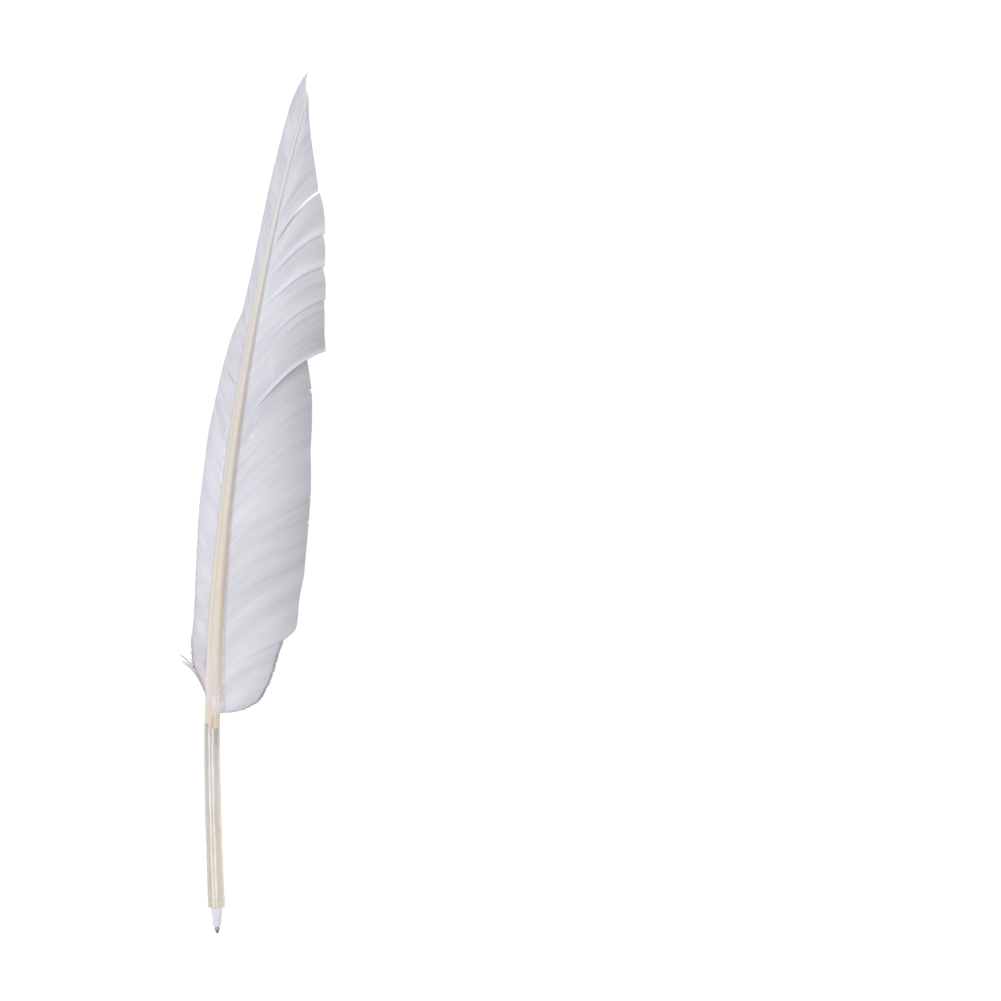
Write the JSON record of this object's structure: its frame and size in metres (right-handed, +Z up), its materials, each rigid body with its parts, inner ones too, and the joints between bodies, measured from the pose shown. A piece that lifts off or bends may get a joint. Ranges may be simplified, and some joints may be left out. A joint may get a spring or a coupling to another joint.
{
  "type": "quill pen",
  "caption": "White flight feather whose square-cut quill holds a pull-out ballpoint refill with a white nose cone, metal point and rolling ball.",
  "frame": {"origin": "middle of the pen's box, on the desk that it lies on", "axes": "+Y from the writing end to the feather's tip, +X towards the wide vane, +Z up from the desk, out of the grooved face of the shaft"},
  "size_m": [0.0666, 0.3918, 0.0146],
  "materials": {
    "writing_ball": "polished",
    "point_metal": "turned nickel silver",
    "nose_plastic": "moulded, satin",
    "refill_tube": "milky",
    "ink": "thick oil ink",
    "quill_horn": "translucent horn",
    "rachis_horn": "satin horn",
    "pith": "dry pith",
    "vane": "zipped barbs",
    "down": "loose down"
  },
  "bodies": {
    "quill": {"quill_barrel": "quill_horn", "pith_plug": "pith", "rachis": "rachis_horn", "rachis_pith": "pith", "trailing_lock_1": "vane", "trailing_lock_2": "vane", "trailing_lock_3": "vane", "trailing_lock_4": "vane", "trailing_lock_5": "vane", "trailing_lock_6": "vane", "trailing_lock_7": "vane", "trailing_lock_8": "vane", "trailing_lock_9": "vane", "trailing_lock_10": "vane", "trailing_lock_11": "vane", "trailing_lock_12": "vane", "leading_lock_1": "vane", "leading_lock_2": "vane", "leading_lock_3": "vane", "leading_lock_4": "vane", "leading_lock_5": "vane", "leading_lock_6": "vane", "leading_lock_7": "vane", "down_wisps": "down", "down_tuft": "down"},
    "refill": {"nose_cone": "nose_plastic", "point_housing": "point_metal", "ink_tube": "refill_tube", "ink_column": "ink", "tail_plug": "refill_tube"},
    "ball": {"writing_ball": "writing_ball"}
  },
  "joints": [
    {"name": "refill_pull", "type": "slide", "parent": "quill", "child": "refill", "axis": [0.0344, -0.9994, 0], "range_m": [0, 0.08]},
    {"name": "ball_roll", "type": "hinge", "parent": "refill", "child": "ball", "pos_m": [-0.01609, -0.1954, 0.00387], "axis": [0.9994, 0.0344, 0], "continuous": true}
  ]
}
